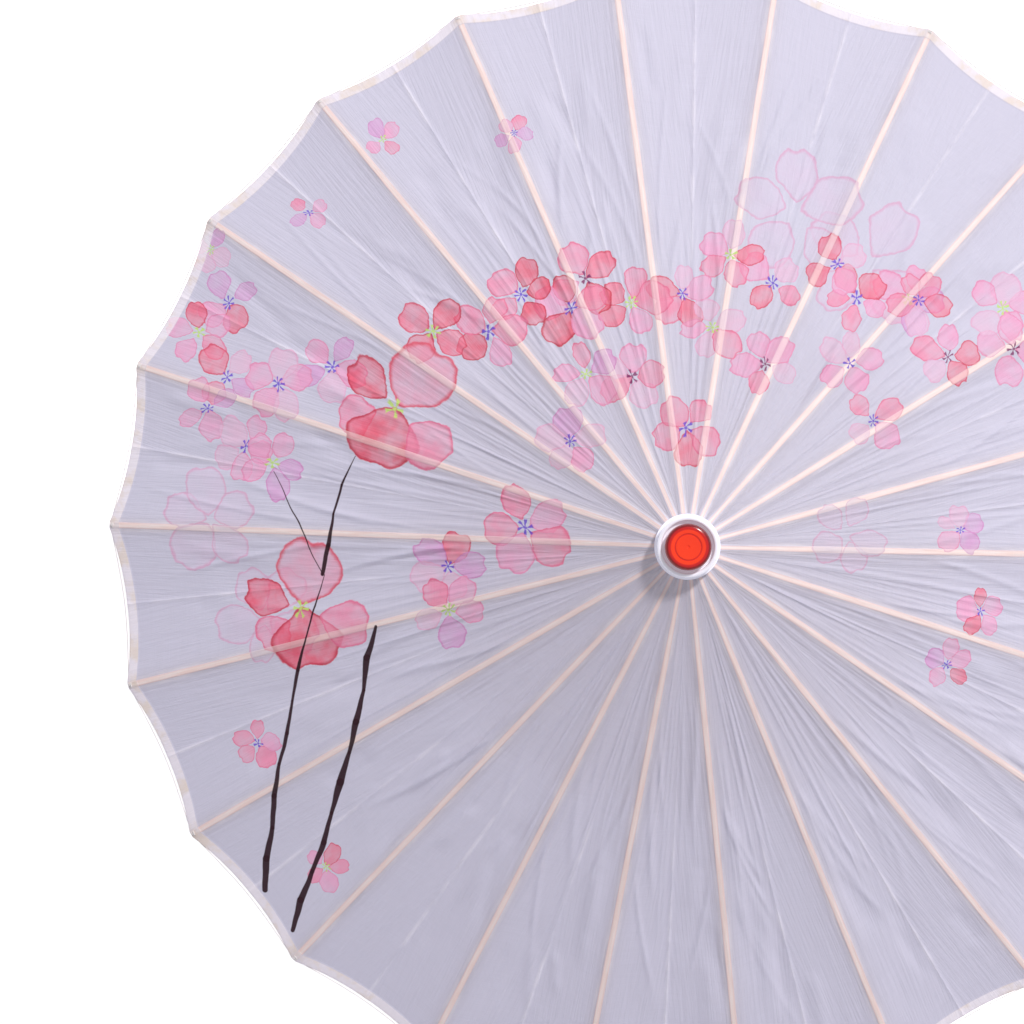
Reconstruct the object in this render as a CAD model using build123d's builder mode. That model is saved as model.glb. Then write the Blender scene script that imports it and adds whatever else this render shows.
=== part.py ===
"""Bamboo and silk parasol that opens and folds, modelled open.

Frame: origin at the centre of the handle's lower end, +Z up along the shaft, in millimetres.
Long rib 01 lies along +X and the others follow at equal steps round the shaft.

Each long rib hinges on the hub at the top of the shaft. Each stretcher hinges on its long rib
at one end and on the runner at the other. The two hinge circles have the same radius and the
stretcher is as long as the rib's inner arm, so rib, stretcher and shaft form an isosceles
triangle: the stretcher turns twice as far as the rib, and the runner slides straight.
"""

import os
from math import cos, pi, radians, sin, tan

from build123d import *

os.makedirs("parts", exist_ok=True)

# ---------------------------------------------------------------- driving dimensions
RIBS = 22
CANOPY_RADIUS = 420.0  # axis to the cloth's corners at the rib tips
HUB_HEIGHT = 530.0  # hinge circle of the long ribs
OPEN_ANGLE = 20.0  # long ribs below the horizontal
HINGE_RADIUS = 16.0  # both hinge circles
ARM = 190.0  # hub hinge to stretcher pivot, and stretcher pivot to runner hinge

SHAFT_R = 7.0
SLIDE_CLEARANCE = 0.25  # runner on shaft, on the radius
PIN_CLEARANCE = 0.02  # a driven pin in its hole
TURN_CLEARANCE = 0.08  # a hinge pin in the part that turns on it

RIB_DEPTH = 4.0
RIB_WIDTH = 4.6
RIB_ROOT_WIDTH = 2.4
RIB_ROOT_LENGTH = 9.0
RIB_FULL_WIDTH_AT = 70.0
RIB_LENGTH = 427.0
THREAD_HOLE_R = 0.8
THREAD_HOLE_AT = 423.0
RIB_SLOT_WIDTH = 2.4
RIB_SLOT_INWARD = 8.0
RIB_SLOT_OUTWARD = 31.0

STRETCHER_DEPTH = 3.2
STRETCHER_WIDTH = 3.2
STRETCHER_ROOT_WIDTH = 2.3
STRETCHER_ROOT_LENGTH = 9.0
STRETCHER_TIP_WIDTH = 2.0
STRETCHER_TIP_LENGTH = 33.0

HINGE_SLOT_WIDTH = 2.7
HINGE_SLOT_FLOOR_R = 12.6
HINGE_HEAD_R = 19.6
WIRE_R = 0.5
WIRE_HOLE_R = 0.65
WIRE_GROOVE_FLOOR_R = 15.4
WIRE_GROOVE_HEIGHT = 1.2
PIVOT_PIN_R = 0.6

CLOTH = 0.35  # thickness, measured vertically
CLOTH_GAP = 0.3  # cloth above the ribs' top faces
CLOTH_HOLE_R = 13.2
CREASE_SAG = 4.0  # mid-gore crease below the flat chord, at the rim
SCALLOP = 6.0  # mid-gore edge inside the flat chord

COLLAR_FOOT_R = 23.2  # flange that sits on the cloth
COLLAR_FOOT_TOP = 4.0
COLLAR_R = 21.6
COLLAR_HEIGHT = 13.0
COLLAR_RIM_INNER_R = 18.3
COLLAR_FLOOR = 9.5  # recess floor above the hinge circle
NECK_R = 12.0
NECK_TOP = 9.0
CAP_R = 16.3
CAP_TOP = 20.0
CAP_EDGE = 3.4

GRIP_R = 10.0
GRIP_BOTTOM = 9.0
GRIP_TOP = 112.0
END_KNOB_R = 9.6
END_KNOB_FOOT_R = 6.0

# ---------------------------------------------------------------- places worked out
gore = 360.0 / RIBS
slope = tan(radians(OPEN_ANGLE))
runner_hinge = HUB_HEIGHT - 2 * ARM * sin(radians(OPEN_ANGLE))
hub_hinge_point = (HINGE_RADIUS, 0, HUB_HEIGHT)
runner_hinge_point = (HINGE_RADIUS, 0, runner_hinge)
rib_direction = Vector(cos(radians(OPEN_ANGLE)), 0, -sin(radians(OPEN_ANGLE)))
rib_normal = Vector(sin(radians(OPEN_ANGLE)), 0, cos(radians(OPEN_ANGLE)))
stretcher_direction = Vector(cos(radians(OPEN_ANGLE)), 0, sin(radians(OPEN_ANGLE)))
stretcher_normal = Vector(-sin(radians(OPEN_ANGLE)), 0, cos(radians(OPEN_ANGLE)))

# Side planes hold a bar's length and depth, top planes its length and width.
rib_side = Plane(origin=hub_hinge_point, x_dir=rib_direction, z_dir=(0, -1, 0))
rib_top = Plane(origin=hub_hinge_point, x_dir=rib_direction, z_dir=rib_normal)
stretcher_side = Plane(origin=runner_hinge_point, x_dir=stretcher_direction, z_dir=(0, -1, 0))
stretcher_top = Plane(origin=runner_hinge_point, x_dir=stretcher_direction, z_dir=stretcher_normal)

# The cloth's outer face is a pleated cone whose rib and crease lines all meet at one apex.
rib_face = RIB_DEPTH / 2 / cos(radians(OPEN_ANGLE)) + HINGE_RADIUS * slope
cloth_apex = HUB_HEIGHT + rib_face + CLOTH_GAP + CLOTH
half_gore = radians(gore / 2)
chord_mid_r = CANOPY_RADIUS * cos(half_gore)
crease_slope = (CANOPY_RADIUS * slope + CREASE_SAG) / chord_mid_r


def export(part, name):
    """Labels one finished piece and writes its STEP file."""
    part.label = name
    export_step(part, f"parts/{name}.step")


# ---------------------------------------------------------------- shaft
SHAFT_BOTTOM = 3.0
shaft_top = HUB_HEIGHT + 14.0
RUNNER_BELOW = 32.0  # runner's lower end below its hinge circle
RUNNER_TOP = 7.0
CATCH_TOP = runner_hinge - RUNNER_BELOW - 0.3
CATCH_PIVOT = (3.6, 338.0)
CATCH_SLOT_WIDTH = 2.8
CATCH_SLOT_FLOOR_X = -3.0
CATCH_PIN_R = 0.9
HUB_PIN_R = 1.2
HUB_PIN_DROP = 6.0
STOP_PIN_R = 1.2
stop_pin_height = runner_hinge + RUNNER_TOP + STOP_PIN_R + 0.3

with BuildPart() as shaft:
    with BuildSketch(Plane.XY.offset(SHAFT_BOTTOM)):
        Circle(SHAFT_R)
    extrude(amount=shaft_top - SHAFT_BOTTOM)
    chamfer(shaft.edges().group_by(Axis.Z)[-1], 0.8)
    with BuildSketch(Plane.XZ):
        with BuildLine():
            Polyline(
                (CATCH_SLOT_FLOOR_X, CATCH_PIVOT[1] - 5),
                (SHAFT_R + 1, CATCH_PIVOT[1] - 5),
                (SHAFT_R + 1, CATCH_TOP + 1.5),
                (CATCH_SLOT_FLOOR_X, CATCH_TOP + 1.5),
                close=True,
            )
        make_face()
    extrude(amount=CATCH_SLOT_WIDTH / 2, both=True, mode=Mode.SUBTRACT)
    with BuildSketch(Plane.XZ):
        with Locations(CATCH_PIVOT):
            Circle(CATCH_PIN_R + PIN_CLEARANCE)
    extrude(amount=SHAFT_R, both=True, mode=Mode.SUBTRACT)
    with BuildSketch(Plane.XZ):
        with Locations((0, stop_pin_height)):
            Circle(STOP_PIN_R + PIN_CLEARANCE)
    extrude(amount=SHAFT_R, both=True, mode=Mode.SUBTRACT)
    with BuildSketch(Plane.YZ):
        with Locations((0, HUB_HEIGHT - HUB_PIN_DROP)):
            Circle(HUB_PIN_R + PIN_CLEARANCE)
    extrude(amount=SHAFT_R, both=True, mode=Mode.SUBTRACT)
export(shaft.part, "shaft")

# ---------------------------------------------------------------- hub at the top of the shaft
HUB_BELOW = 9.0
FIT = 0.02  # parts glued or driven onto the shaft
hub_cone_apex = HUB_HEIGHT + rib_face - 0.1  # fins stop just under the ribs' top faces

with BuildPart() as hub:
    with BuildSketch(Plane.XZ):
        with BuildLine():
            Polyline(
                (SHAFT_R + FIT, HUB_HEIGHT - HUB_BELOW),
                (HINGE_HEAD_R - 2, HUB_HEIGHT - HUB_BELOW),
                (HINGE_HEAD_R, HUB_HEIGHT - HUB_BELOW + 2),
                (HINGE_HEAD_R, hub_cone_apex - HINGE_HEAD_R * slope),
                (NECK_R, hub_cone_apex - NECK_R * slope),
                (NECK_R, HUB_HEIGHT + NECK_TOP),
                (SHAFT_R + FIT, HUB_HEIGHT + NECK_TOP),
                close=True,
            )
        make_face()
    revolve(axis=Axis.Z)
    slot_length = HINGE_HEAD_R + 1 - HINGE_SLOT_FLOOR_R
    with BuildSketch(Plane.XY.offset(HUB_HEIGHT - HUB_BELOW)):
        with PolarLocations(HINGE_SLOT_FLOOR_R + slot_length / 2, RIBS):
            Rectangle(slot_length, HINGE_SLOT_WIDTH)
    extrude(amount=HUB_BELOW + NECK_TOP, mode=Mode.SUBTRACT)
    with BuildSketch(Plane.XY.offset(HUB_HEIGHT - WIRE_GROOVE_HEIGHT / 2)):
        Circle(HINGE_HEAD_R + 1)
        Circle(WIRE_GROOVE_FLOOR_R, mode=Mode.SUBTRACT)
    extrude(amount=WIRE_GROOVE_HEIGHT, mode=Mode.SUBTRACT)
    with BuildSketch(Plane.YZ):
        with Locations((0, HUB_HEIGHT - HUB_PIN_DROP)):
            Circle(HUB_PIN_R + PIN_CLEARANCE)
    extrude(amount=HINGE_SLOT_FLOOR_R + 0.5, both=True, mode=Mode.SUBTRACT)
export(hub.part, "hub")

with BuildPart() as hub_pin:
    with BuildSketch(Plane.YZ):
        with Locations((0, HUB_HEIGHT - HUB_PIN_DROP)):
            Circle(HUB_PIN_R)
    extrude(amount=HINGE_SLOT_FLOOR_R - 0.2, both=True)
export(hub_pin.part, "hub_pin")

with BuildPart() as hub_wire:
    with Locations((0, 0, HUB_HEIGHT)):
        Torus(HINGE_RADIUS, WIRE_R)
export(hub_wire.part, "hub_wire")

# Thread wound round the neck, which ties the cloth down under the collar.
NECK_THREAD_R = 0.7
NECK_THREAD_TURNS = 2
with BuildPart() as neck_thread:
    for turn in range(NECK_THREAD_TURNS):
        thread_height = HUB_HEIGHT + 5.2 + turn * (2 * NECK_THREAD_R + 0.1)
        with Locations((0, 0, thread_height)):
            Torus(NECK_R + NECK_THREAD_R + 0.05, NECK_THREAD_R)
export(neck_thread.part, "neck_thread")

# ---------------------------------------------------------------- collar and cap on top
collar_underside_apex = cloth_apex + 0.5
THREAD_ROOM_R = 14.6
THREAD_ROOM_TOP = 8.0

with BuildPart() as collar:
    with BuildSketch(Plane.XZ):
        with BuildLine():
            Polyline(
                (NECK_R + FIT, HUB_HEIGHT + THREAD_ROOM_TOP),
                (THREAD_ROOM_R, HUB_HEIGHT + THREAD_ROOM_TOP),
                (THREAD_ROOM_R, collar_underside_apex - THREAD_ROOM_R * slope),
                (COLLAR_FOOT_R, collar_underside_apex - COLLAR_FOOT_R * slope),
                (COLLAR_FOOT_R, HUB_HEIGHT + COLLAR_FOOT_TOP),
                (COLLAR_R, HUB_HEIGHT + COLLAR_FOOT_TOP),
                (COLLAR_R, HUB_HEIGHT + COLLAR_HEIGHT),
                (COLLAR_RIM_INNER_R, HUB_HEIGHT + COLLAR_HEIGHT),
                (COLLAR_RIM_INNER_R, HUB_HEIGHT + COLLAR_FLOOR),
                (NECK_R + FIT, HUB_HEIGHT + COLLAR_FLOOR),
                close=True,
            )
        make_face()
    revolve(axis=Axis.Z)
    fillet(collar.edges().group_by(Axis.Z)[-1], 1.5)
    fillet(collar.edges().filter_by(GeomType.CIRCLE).sort_by(SortBy.RADIUS)[-1:], 0.6)
export(collar.part, "collar")

RING_GROOVE_R = 9.2
RING_GROOVE_DEPTH = 0.5
PIP_R = 1.2
cap_bottom = HUB_HEIGHT + COLLAR_FLOOR + 0.05

with BuildPart() as top_cap:
    with BuildSketch(Plane.XY.offset(cap_bottom)):
        Circle(CAP_R)
    extrude(amount=HUB_HEIGHT + CAP_TOP - cap_bottom)
    fillet(top_cap.edges().group_by(Axis.Z)[-1], CAP_EDGE)
    with BuildSketch(Plane.XY.offset(HUB_HEIGHT + CAP_TOP)):
        Circle(RING_GROOVE_R + 0.6)
        Circle(RING_GROOVE_R - 0.6, mode=Mode.SUBTRACT)
    extrude(amount=-RING_GROOVE_DEPTH, mode=Mode.SUBTRACT)
    with BuildSketch(Plane.XY.offset(HUB_HEIGHT + CAP_TOP)):
        Circle(PIP_R)
    extrude(amount=-RING_GROOVE_DEPTH, taper=20, mode=Mode.SUBTRACT)
    with BuildSketch(Plane.XY.offset(cap_bottom)):
        Circle(SHAFT_R + FIT)
    extrude(amount=shaft_top - cap_bottom + 0.2, mode=Mode.SUBTRACT)
export(top_cap.part, "top_cap")

# ---------------------------------------------------------------- runner
RUNNER_HEAD_BELOW = 7.0
RUNNER_WAIST_R = 13.0
RUNNER_WAIST_BOTTOM = 25.0
RUNNER_FLANGE_R = 16.0
RUNNER_CORNER = 1.5

with BuildPart() as runner:
    with BuildSketch(Plane.XZ):
        with BuildLine():
            Polyline(
                (SHAFT_R + SLIDE_CLEARANCE, runner_hinge - RUNNER_BELOW),
                (RUNNER_FLANGE_R - RUNNER_CORNER, runner_hinge - RUNNER_BELOW),
                (RUNNER_FLANGE_R, runner_hinge - RUNNER_BELOW + RUNNER_CORNER),
                (RUNNER_FLANGE_R, runner_hinge - RUNNER_WAIST_BOTTOM - RUNNER_CORNER),
                (RUNNER_WAIST_R, runner_hinge - RUNNER_WAIST_BOTTOM + RUNNER_CORNER),
                (RUNNER_WAIST_R, runner_hinge - RUNNER_HEAD_BELOW - 4 * RUNNER_CORNER),
                (HINGE_HEAD_R - RUNNER_CORNER, runner_hinge - RUNNER_HEAD_BELOW),
                (HINGE_HEAD_R, runner_hinge - RUNNER_HEAD_BELOW + RUNNER_CORNER),
                (HINGE_HEAD_R, runner_hinge + RUNNER_TOP - RUNNER_CORNER),
                (HINGE_HEAD_R - RUNNER_CORNER, runner_hinge + RUNNER_TOP),
                (SHAFT_R + SLIDE_CLEARANCE, runner_hinge + RUNNER_TOP),
                close=True,
            )
        make_face()
    revolve(axis=Axis.Z)
    runner_slot_bottom = runner_hinge - STRETCHER_DEPTH / 2 - 1.0
    with BuildSketch(Plane.XY.offset(runner_slot_bottom)):
        with PolarLocations(HINGE_SLOT_FLOOR_R + slot_length / 2, RIBS):
            Rectangle(slot_length, HINGE_SLOT_WIDTH)
    extrude(amount=runner_hinge + RUNNER_TOP - runner_slot_bottom, mode=Mode.SUBTRACT)
    with BuildSketch(Plane.XY.offset(runner_hinge - WIRE_GROOVE_HEIGHT / 2)):
        Circle(HINGE_HEAD_R + 1)
        Circle(WIRE_GROOVE_FLOOR_R, mode=Mode.SUBTRACT)
    extrude(amount=WIRE_GROOVE_HEIGHT, mode=Mode.SUBTRACT)
export(runner.part, "runner")

with BuildPart() as runner_wire:
    with Locations((0, 0, runner_hinge)):
        Torus(HINGE_RADIUS, WIRE_R)
export(runner_wire.part, "runner_wire")

with BuildPart() as stop_pin:
    with BuildSketch(Plane.XZ):
        with Locations((0, stop_pin_height)):
            Circle(STOP_PIN_R)
    extrude(amount=SHAFT_R + 3.0, both=True)
export(stop_pin.part, "stop_pin")

# ---------------------------------------------------------------- spring catch in the shaft
# The catch is drawn pressed in, where the runner clears it. Its profile is laid out from
# its pin, in a plane that stands upright when the catch is out.
CATCH_THICKNESS = 2.2
CATCH_TRAVEL = 8.0  # degrees between out and pressed in
CATCH_REACH = 6.8  # tip from the pin's axis
catch_rise = CATCH_TOP - CATCH_PIVOT[1]
pressed_side = Plane(
    origin=(CATCH_PIVOT[0], 0, CATCH_PIVOT[1]),
    x_dir=(cos(radians(CATCH_TRAVEL)), 0, sin(radians(CATCH_TRAVEL))),
    z_dir=(0, -1, 0),
)

with BuildPart() as catch:
    with BuildSketch(pressed_side):
        with BuildLine():
            Polyline(
                (-2.4, 0),
                (-1.2, -2.4),
                (1.2, -2.4),
                (CATCH_REACH - 4.0, 1),
                (CATCH_REACH, catch_rise - 4),
                (CATCH_REACH, catch_rise - 0.9),
                (CATCH_REACH - 4.4, catch_rise),
                (CATCH_REACH - 7.4, catch_rise),
                close=True,
            )
        make_face()
        Circle(CATCH_PIN_R + TURN_CLEARANCE, mode=Mode.SUBTRACT)
    extrude(amount=CATCH_THICKNESS / 2, both=True)
export(catch.part, "catch")

with BuildPart() as catch_pin:
    with BuildSketch(Plane.XZ):
        with Locations(CATCH_PIVOT):
            Circle(CATCH_PIN_R)
    extrude(amount=(SHAFT_R**2 - CATCH_PIVOT[0] ** 2) ** 0.5 - 0.3, both=True)
export(catch_pin.part, "catch_pin")

# A bowed strip behind the catch, squeezed by it here, which pushes it back out.
SPRING_STRIP = 0.5
SPRING_BOW = 2.9
with BuildPart() as catch_spring:
    with BuildSketch(Plane.XZ):
        with BuildLine():
            Polyline(
                (CATCH_SLOT_FLOOR_X + 0.1, CATCH_PIVOT[1] + 4),
                (CATCH_SLOT_FLOOR_X + 0.1 + SPRING_STRIP, CATCH_PIVOT[1] + 4),
                (CATCH_SLOT_FLOOR_X + SPRING_BOW, CATCH_PIVOT[1] + 14),
                (CATCH_SLOT_FLOOR_X + 0.1 + SPRING_STRIP, CATCH_PIVOT[1] + 24),
                (CATCH_SLOT_FLOOR_X + 0.1, CATCH_PIVOT[1] + 24),
                (CATCH_SLOT_FLOOR_X + SPRING_BOW - SPRING_STRIP, CATCH_PIVOT[1] + 14),
                close=True,
            )
        make_face()
    extrude(amount=1.0, both=True)
export(catch_spring.part, "catch_spring")

# ---------------------------------------------------------------- handle
GROOVE_R = 0.8
with BuildPart() as grip:
    with BuildSketch(Plane.XZ):
        with BuildLine():
            Polyline(
                (SHAFT_R + FIT, GRIP_BOTTOM),
                (GRIP_R, GRIP_BOTTOM),
                (GRIP_R, GRIP_TOP - 12),
                (GRIP_R - 1.6, GRIP_TOP),
                (SHAFT_R + FIT, GRIP_TOP),
                close=True,
            )
        make_face()
        with Locations((GRIP_R, GRIP_TOP - 14), (GRIP_R, GRIP_TOP - 18), (GRIP_R, GRIP_BOTTOM + 5)):
            Circle(GROOVE_R, mode=Mode.SUBTRACT)
    revolve(axis=Axis.Z)
    fillet(grip.edges().group_by(Axis.Z)[-1].sort_by(SortBy.RADIUS)[-1], 1.0)
export(grip.part, "grip")

with BuildPart() as end_knob:
    with BuildSketch(Plane.XY):
        Circle(END_KNOB_R)
    extrude(amount=GRIP_BOTTOM - 0.05)
    fillet(end_knob.edges().group_by(Axis.Z)[0], END_KNOB_R - END_KNOB_FOOT_R)
    fillet(end_knob.edges().group_by(Axis.Z)[-1], 1.0)
    with BuildSketch(Plane.XY.offset(SHAFT_BOTTOM - 0.05)):
        Circle(SHAFT_R + FIT)
    extrude(amount=GRIP_BOTTOM, mode=Mode.SUBTRACT)
export(end_knob.part, "end_knob")

# ---------------------------------------------------------------- long ribs
with BuildPart() as rib:
    with BuildSketch(rib_side):
        with Locations((RIB_LENGTH / 2, 0)):
            Rectangle(RIB_LENGTH, RIB_DEPTH)
        Circle(RIB_DEPTH / 2)
        Circle(WIRE_HOLE_R, mode=Mode.SUBTRACT)
        with Locations((ARM, 0)):
            Circle(PIVOT_PIN_R + PIN_CLEARANCE, mode=Mode.SUBTRACT)
        with Locations((THREAD_HOLE_AT, 0)):
            Circle(THREAD_HOLE_R, mode=Mode.SUBTRACT)
    extrude(amount=RIB_WIDTH / 2, both=True)
    with BuildSketch(rib_top):
        with BuildLine():
            Polyline(
                (-RIB_DEPTH, RIB_ROOT_WIDTH / 2),
                (RIB_ROOT_LENGTH, RIB_ROOT_WIDTH / 2),
                (RIB_FULL_WIDTH_AT, RIB_WIDTH / 2),
                (RIB_LENGTH, RIB_WIDTH / 2),
                (RIB_LENGTH, -RIB_WIDTH / 2),
                (RIB_FULL_WIDTH_AT, -RIB_WIDTH / 2),
                (RIB_ROOT_LENGTH, -RIB_ROOT_WIDTH / 2),
                (-RIB_DEPTH, -RIB_ROOT_WIDTH / 2),
                close=True,
            )
        make_face()
    extrude(amount=RIB_DEPTH, both=True, mode=Mode.INTERSECT)
    with BuildSketch(rib_top):
        with Locations((ARM + (RIB_SLOT_OUTWARD - RIB_SLOT_INWARD) / 2, 0)):
            Rectangle(RIB_SLOT_OUTWARD + RIB_SLOT_INWARD, RIB_SLOT_WIDTH)
    extrude(amount=RIB_DEPTH, both=True, mode=Mode.SUBTRACT)

with BuildPart() as pivot_pin:
    with BuildSketch(rib_side):
        with Locations((ARM, 0)):
            Circle(PIVOT_PIN_R)
    extrude(amount=RIB_WIDTH / 2 + 0.1, both=True)

# ---------------------------------------------------------------- stretchers
with BuildPart() as stretcher:
    with BuildSketch(stretcher_side):
        with Locations((ARM / 2, 0)):
            SlotCenterToCenter(ARM, STRETCHER_DEPTH)
        Circle(WIRE_HOLE_R, mode=Mode.SUBTRACT)
        with Locations((ARM, 0)):
            Circle(PIVOT_PIN_R + TURN_CLEARANCE, mode=Mode.SUBTRACT)
    extrude(amount=STRETCHER_WIDTH / 2, both=True)
    with BuildSketch(stretcher_top):
        with BuildLine():
            Polyline(
                (-STRETCHER_DEPTH, STRETCHER_ROOT_WIDTH / 2),
                (STRETCHER_ROOT_LENGTH, STRETCHER_ROOT_WIDTH / 2),
                (STRETCHER_ROOT_LENGTH + 4, STRETCHER_WIDTH / 2),
                (ARM - STRETCHER_TIP_LENGTH - 4, STRETCHER_WIDTH / 2),
                (ARM - STRETCHER_TIP_LENGTH, STRETCHER_TIP_WIDTH / 2),
                (ARM + STRETCHER_DEPTH, STRETCHER_TIP_WIDTH / 2),
                (ARM + STRETCHER_DEPTH, -STRETCHER_TIP_WIDTH / 2),
                (ARM - STRETCHER_TIP_LENGTH, -STRETCHER_TIP_WIDTH / 2),
                (ARM - STRETCHER_TIP_LENGTH - 4, -STRETCHER_WIDTH / 2),
                (STRETCHER_ROOT_LENGTH + 4, -STRETCHER_WIDTH / 2),
                (STRETCHER_ROOT_LENGTH, -STRETCHER_ROOT_WIDTH / 2),
                (-STRETCHER_DEPTH, -STRETCHER_ROOT_WIDTH / 2),
                close=True,
            )
        make_face()
    extrude(amount=STRETCHER_DEPTH, both=True, mode=Mode.INTERSECT)

for k in range(RIBS):
    turned = Location((0, 0, 0), (0, 0, k * gore))
    with BuildPart() as rib_copy:
        with Locations(turned):
            add([rib.part, pivot_pin.part])
    export(rib_copy.part, f"long_rib_{k + 1:02d}")
    with BuildPart() as stretcher_copy:
        with Locations(turned):
            add(stretcher.part)
    export(stretcher_copy.part, f"stretcher_{k + 1:02d}")

# ---------------------------------------------------------------- cloth
apex = Vector(0, 0, cloth_apex)
rib_line = Vector(1, 0, -slope)
crease_line = Vector(cos(half_gore), sin(half_gore), -crease_slope)
facet_normal = rib_line.cross(crease_line).normalized()
facet = Plane(origin=apex, x_dir=rib_line.normalized(), z_dir=facet_normal)


def on_rib_line(radius):
    """Point of the cloth's outer face over rib 01, in the facet's plane."""
    return facet.to_local_coords(apex + rib_line * radius)


def on_crease_line(radius):
    """Point of the cloth's outer face on the crease beside rib 01, in the facet's plane."""
    return facet.to_local_coords(apex + crease_line * radius)


def across(radius, share):
    """Point on the facet at this share of the way from the rib line to the crease line."""
    return on_rib_line(radius) * (1 - share) + on_crease_line(radius) * share


scallop_quarter = across(CANOPY_RADIUS - 0.75 * (CANOPY_RADIUS - chord_mid_r + SCALLOP), 0.5)

with BuildPart() as gore_cloth:
    with BuildSketch(facet):
        with BuildLine():
            Line(on_rib_line(CLOTH_HOLE_R), on_rib_line(CANOPY_RADIUS))
            ThreePointArc(on_rib_line(CANOPY_RADIUS), scallop_quarter, on_crease_line(chord_mid_r - SCALLOP))
            Line(on_crease_line(chord_mid_r - SCALLOP), on_crease_line(CLOTH_HOLE_R))
            Line(on_crease_line(CLOTH_HOLE_R), on_rib_line(CLOTH_HOLE_R))
        make_face()
    extrude(amount=CLOTH, dir=(0, 0, -1))
    mirror(about=Plane.XZ)

with BuildPart() as canopy:
    with PolarLocations(0, RIBS):
        add(gore_cloth.part)
export(canopy.part, "canopy")

print(f"runner hinge circle at z = {runner_hinge:.2f}, cloth apex at z = {cloth_apex:.2f}")
print(f"cloth area about {pi * CANOPY_RADIUS**2 / cos(radians(OPEN_ANGLE)) * 1e-6:.3f} square metres")
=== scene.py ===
from math import asin, atan2, cos, hypot, pi, radians, sin, tan

import bpy
import numpy as np
from mathutils import Matrix, Vector


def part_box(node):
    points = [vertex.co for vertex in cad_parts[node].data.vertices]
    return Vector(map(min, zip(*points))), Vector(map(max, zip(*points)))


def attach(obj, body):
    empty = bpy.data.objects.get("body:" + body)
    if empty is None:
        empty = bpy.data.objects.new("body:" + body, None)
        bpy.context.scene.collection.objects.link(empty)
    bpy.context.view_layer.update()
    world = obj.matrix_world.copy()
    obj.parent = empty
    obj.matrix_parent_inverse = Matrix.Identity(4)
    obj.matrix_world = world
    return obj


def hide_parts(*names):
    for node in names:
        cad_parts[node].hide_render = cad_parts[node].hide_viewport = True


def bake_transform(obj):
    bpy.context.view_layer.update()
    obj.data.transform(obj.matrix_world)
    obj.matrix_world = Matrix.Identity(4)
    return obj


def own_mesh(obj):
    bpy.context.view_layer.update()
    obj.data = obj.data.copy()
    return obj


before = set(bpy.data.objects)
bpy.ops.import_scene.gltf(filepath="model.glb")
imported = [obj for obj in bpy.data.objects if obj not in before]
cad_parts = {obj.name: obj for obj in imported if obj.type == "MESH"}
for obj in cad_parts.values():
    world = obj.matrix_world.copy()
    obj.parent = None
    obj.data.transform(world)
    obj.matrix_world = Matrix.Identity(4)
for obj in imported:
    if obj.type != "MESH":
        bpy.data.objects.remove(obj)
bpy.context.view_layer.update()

# ---------------------------------------------------------------- the frame's sizes, in metres
RIBS = 22
GORE = 2 * pi / RIBS
TILT = radians(20)
SLOPE = tan(TILT)
HINGE_R, HINGE_Z = 0.016, 0.530  # the long ribs' hinges
HOLE_R = 0.0132
RIM_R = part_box("canopy")[1].x
APEX_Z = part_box("canopy")[1].z + HOLE_R * SLOPE
RIB_TIP = (0.0029, 0.0033)  # half the width and height of the winding round a rib's tip
MM = 1000  # the cloth's attributes and the print are in millimetres

# ---------------------------------------------------------------- the cloth's own sizes
NECK_R = 0.0232  # the cloth bends at the neck inside this radius
STRIP = 0.0024  # half the width glued to each rib
STRIP_DROP = 0.0002
CREASE_SAG = 0.0042
SCALLOP = 0.0060
HEM = 0.0078
HEM_RISE = 0.0003
EDGE_DROP = 0.0003
PUFF = 0.0006  # between a rib and its crease the cloth sinks this far, and the crease stands as far
THREAD_INSET = 0.0044
THREAD_R = 0.00038
THREAD_DROP = 0.0012  # below the rib's tip, and as much again midway between two
WINDINGS = (0.4165, 0.0009)  # radius of the first turn round a rib's tip, and the pitch
crease_rim_r = RIM_R * cos(GORE / 2) - SCALLOP
crease_slope = (RIM_R * SLOPE + CREASE_SAG) / (RIM_R * cos(GORE / 2))
cloth_length = (RIM_R - NECK_R) / cos(TILT)


# ---------------------------------------------------------------- small helpers
def smooth(low, high, value):
    """0 below low, 1 above high, eased in between."""
    t = np.clip((value - low) / (high - low), 0, 1)
    return t * t * (3 - 2 * t)


def radial(azimuth):
    return np.array([cos(azimuth), sin(azimuth), 0.0])


def sideways(azimuth):
    return np.array([-sin(azimuth), cos(azimuth), 0.0])


def off_rib(azimuth):
    """The direction square to a rib's top."""
    return sin(TILT) * radial(azimuth) + np.array([0, 0, cos(TILT)])


def link(name, vertices, faces, attributes=(), materials=(), face_slots=None):
    """A smooth mesh object with vector attributes, linked to the scene."""
    mesh = bpy.data.meshes.new(name)
    mesh.from_pydata(np.asarray(vertices).tolist(), [], [list(f) for f in faces])
    for attribute, values in attributes:
        layer = mesh.attributes.new(attribute, "FLOAT_VECTOR", "POINT")
        layer.data.foreach_set("vector", np.asarray(values, np.float32).ravel())
    for look in materials:
        mesh.materials.append(look)
    if face_slots is not None:
        mesh.polygons.foreach_set("material_index", np.asarray(face_slots, np.int32))
    mesh.polygons.foreach_set("use_smooth", np.ones(len(mesh.polygons), bool))
    made = bpy.data.objects.new(name, mesh)
    bpy.context.scene.collection.objects.link(made)
    return made


def grid_faces(rows, columns, flip=False):
    """Quads of a grid of rows by columns points, row by row."""
    corner = np.arange((rows - 1) * columns).reshape(rows - 1, columns)[:, :-1].ravel()
    quads = np.stack([corner, corner + columns, corner + columns + 1, corner + 1], 1)
    return quads[:, ::-1] if flip else quads


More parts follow.
